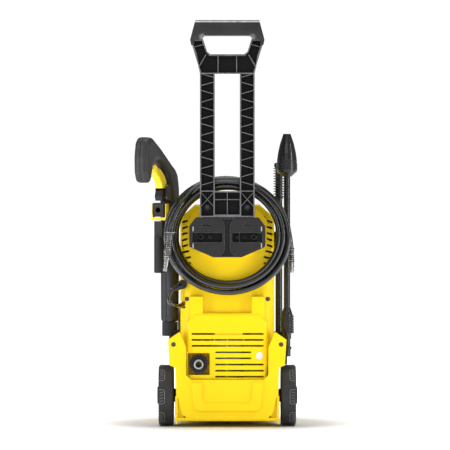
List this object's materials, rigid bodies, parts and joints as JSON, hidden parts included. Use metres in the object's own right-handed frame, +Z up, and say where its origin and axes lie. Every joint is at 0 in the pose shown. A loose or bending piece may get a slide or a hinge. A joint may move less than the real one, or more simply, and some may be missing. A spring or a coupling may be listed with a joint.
{
  "type": "pressure washer",
  "caption": "Upright wheeled pressure washer with ribbed pull handle, coiled high-pressure hose on a rear hook, parked spray gun and lances, and mains lead.",
  "frame": {"origin": "bottom centre of the object's box without its cords, on the floor", "axes": "+Z up; the rear side with hose hook, inlet and wheels faces -Y; +X is the lance side"},
  "size_m": [0.3144, 0.4205, 0.783],
  "materials": {
    "yellow_casing": "moulded satin gloss",
    "yellow_trim": "moulded gloss",
    "black_plastic": "fine moulded grain",
    "grey_grip": "soft-touch grain",
    "wheel_plastic": "moulded",
    "lance_plastic": "moulded",
    "hose_rubber": "smooth hose cover",
    "cord_rubber": "smooth",
    "steel": "turned",
    "brass": "machined",
    "cast_metal": "die cast"
  },
  "bodies": {
    "machine": {"axle": "steel", "base_shell": "yellow_casing", "base_tray": "black_plastic", "cable_gland": "black_plastic", "front_cover": "yellow_casing", "front_feet": "cord_rubber", "gun_holder": "black_plastic", "handle_grip": "grey_grip", "hose_bend_sleeves": "hose_rubber", "hose_coil": "hose_rubber", "hose_hook_plate": "black_plastic", "hose_plugs": "steel", "hose_tail_left": "hose_rubber", "hose_tail_right": "hose_rubber", "inlet_coupling": "black_plastic", "inlet_nipple": "brass", "lance_clips": "black_plastic", "lance_holder": "black_plastic", "mains_cord_coil": "cord_rubber", "mains_cord_lead": "cord_rubber", "mains_cord_tail": "cord_rubber", "mains_plug": "black_plastic", "motor_bearings": "steel", "motor_capacitor": "black_plastic", "motor_end_cap": "black_plastic", "motor_stator": "steel", "piston_springs": "steel", "pressure_outlet": "brass", "pressure_switch": "black_plastic", "pull_handle": "black_plastic", "pump_gearbox": "cast_metal", "pump_head": "cast_metal", "pump_pistons": "steel", "rear_cover": "yellow_casing", "screws": "steel", "switch_box": "black_plastic", "valve_caps": "brass", "water_pipes": "brass", "wheel_spacers": "black_plastic"},
    "wheel_left": {"wheel_left": "wheel_plastic", "hub_cap_left": "wheel_plastic"},
    "wheel_right": {"wheel_right": "wheel_plastic", "hub_cap_right": "wheel_plastic"},
    "knob": {"power_knob": "black_plastic"},
    "gun": {"gun_shell_left": "grey_grip", "gun_shell_right": "grey_grip", "gun_socket": "grey_grip", "gun_quick_connect": "grey_grip", "gun_front_grip": "grey_grip", "gun_pins": "steel"},
    "hose_clamp": {"hose_clamp": "yellow_trim"},
    "trigger": {"trigger": "yellow_trim"},
    "trigger_lock": {"trigger_lock": "grey_grip"},
    "jet_lance": {"jet_lance_tube": "lance_plastic", "jet_lance_cone": "lance_plastic"},
    "vario_lance": {"vario_lance_tube": "lance_plastic"},
    "vario_sleeve": {"vario_sleeve": "lance_plastic"},
    "drive": {"motor_rotor": "steel", "cooling_fan": "black_plastic", "swash_plate": "steel"}
  },
  "joints": [
    {"name": "wheel_left_spin", "type": "hinge", "parent": "machine", "child": "wheel_left", "pos_m": [-0.0968, -0.039, 0.059], "axis": [1, 0, 0], "continuous": true},
    {"name": "wheel_right_spin", "type": "hinge", "parent": "machine", "child": "wheel_right", "pos_m": [0.1392, -0.039, 0.059], "axis": [1, 0, 0], "continuous": true},
    {"name": "knob_turn", "type": "hinge", "parent": "machine", "child": "knob", "pos_m": [0.0212, 0.126, 0.33], "axis": [0, 1, 0], "range_deg": [0, 90]},
    {"name": "gun_lift_out", "type": "slide", "parent": "machine", "child": "gun", "axis": [0, 0, 1], "range_m": [0, 0.1]},
    {"name": "trigger_squeeze", "type": "hinge", "parent": "gun", "child": "trigger", "pos_m": [-0.10614, -0.05546, 0.466], "axis": [-0.8988, 0.4384, 0], "range_deg": [0, 8], "stiffness_Nm_per_rad": 0.6, "springref_deg": -8.59},
    {"name": "trigger_lock_flip", "type": "hinge", "parent": "gun", "child": "trigger_lock", "pos_m": [-0.10746, -0.05815, 0.443], "axis": [0.8988, -0.4384, 0], "range_deg": [0, 12]},
    {"name": "hose_clamp_pull", "type": "slide", "parent": "gun", "child": "hose_clamp", "axis": [-0.4384, -0.8988, 0], "range_m": [0, 0.008]},
    {"name": "jet_lance_lift_out", "type": "slide", "parent": "machine", "child": "jet_lance", "axis": [0, 0, 1], "range_m": [0, 0.08]},
    {"name": "vario_lance_lift_out", "type": "slide", "parent": "machine", "child": "vario_lance", "axis": [0, 0, 1], "range_m": [0, 0.08]},
    {"name": "vario_sleeve_twist", "type": "hinge", "parent": "vario_lance", "child": "vario_sleeve", "pos_m": [0.1222, -0.008, 0.475], "axis": [0, 0, 1], "range_deg": [-60, 60]},
    {"name": "motor_spin", "type": "hinge", "parent": "machine", "child": "drive", "pos_m": [0.0212, 0.016, 0.26], "axis": [0, 0, 1], "continuous": true}
  ]
}
